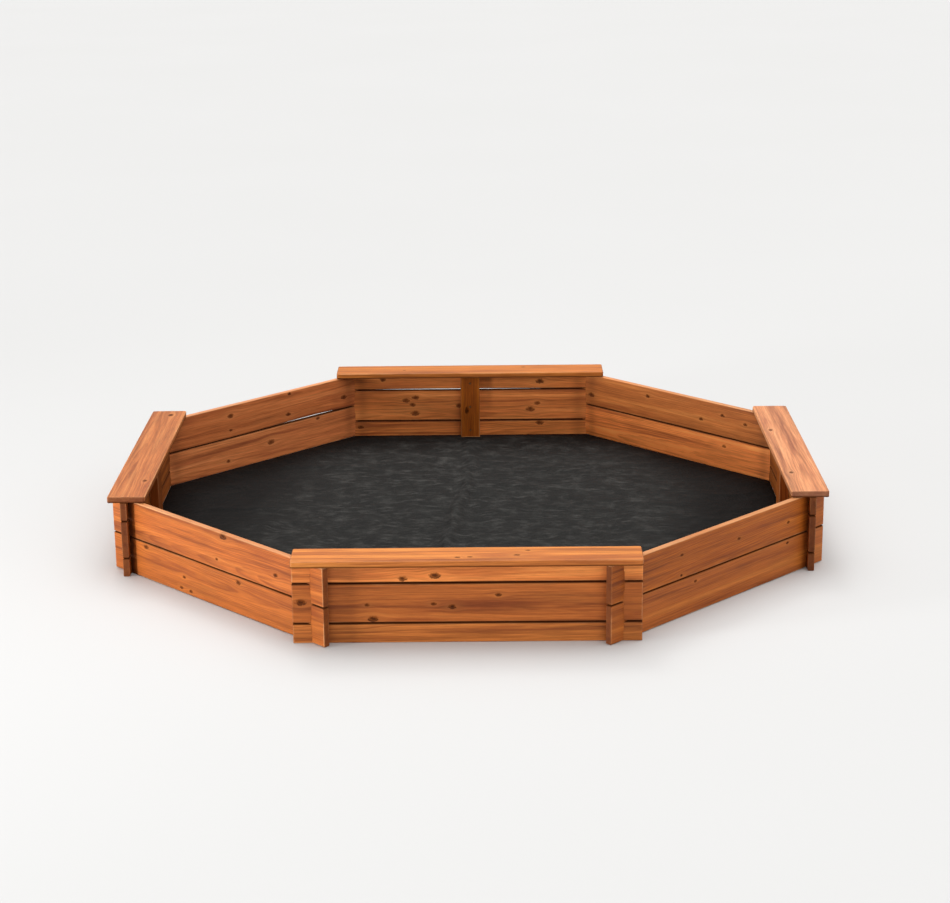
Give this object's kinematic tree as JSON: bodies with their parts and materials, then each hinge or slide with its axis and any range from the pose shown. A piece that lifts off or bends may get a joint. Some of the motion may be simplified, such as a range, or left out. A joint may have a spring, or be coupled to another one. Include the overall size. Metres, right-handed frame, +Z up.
{
  "type": "sandbox",
  "caption": "Octagonal wooden sandbox: notched boards interlock at the corners, flat seats on alternate walls, and a fabric liner covers the ground inside.",
  "frame": {"origin": "The middle of the pit, at ground level.", "axes": "+Z is up. +X runs from the left seat to the right seat. -Y points out through the front wall, so +Y runs from the front seat to the back seat."},
  "size_m": [2.043, 2.043, 0.238],
  "materials": {
    "wall_wood": "softwood with a semi-transparent cedar-brown stain, knots and growth rings showing",
    "seat_wood": "softwood with a semi-transparent cedar-brown stain, planed smooth, edges eased",
    "brace_wood": "softwood with a semi-transparent cedar-brown stain, grain upright",
    "liner_fabric": "matt black non-woven sheet, slightly dusty, with soft wrinkles and a fold line",
    "screw_steel": "steel with a dull bronze coating"
  },
  "bodies": {
    "root": {"front_lower_board": "wall_wood", "front_middle_board": "wall_wood", "front_upper_board": "wall_wood", "front_seat": "seat_wood", "front_brace": "brace_wood", "right_lower_board": "wall_wood", "right_middle_board": "wall_wood", "right_upper_board": "wall_wood", "right_seat": "seat_wood", "right_brace": "brace_wood", "back_lower_board": "wall_wood", "back_middle_board": "wall_wood", "back_upper_board": "wall_wood", "back_seat": "seat_wood", "back_brace": "brace_wood", "left_lower_board": "wall_wood", "left_middle_board": "wall_wood", "left_upper_board": "wall_wood", "left_seat": "seat_wood", "left_brace": "brace_wood", "front_right_lower_board": "wall_wood", "front_right_upper_board": "wall_wood", "back_right_lower_board": "wall_wood", "back_right_upper_board": "wall_wood", "back_left_lower_board": "wall_wood", "back_left_upper_board": "wall_wood", "front_left_lower_board": "wall_wood", "front_left_upper_board": "wall_wood", "ground_liner": "liner_fabric", "brace_screws": "screw_steel", "seat_screws": "screw_steel"}
  },
  "joints": []
}
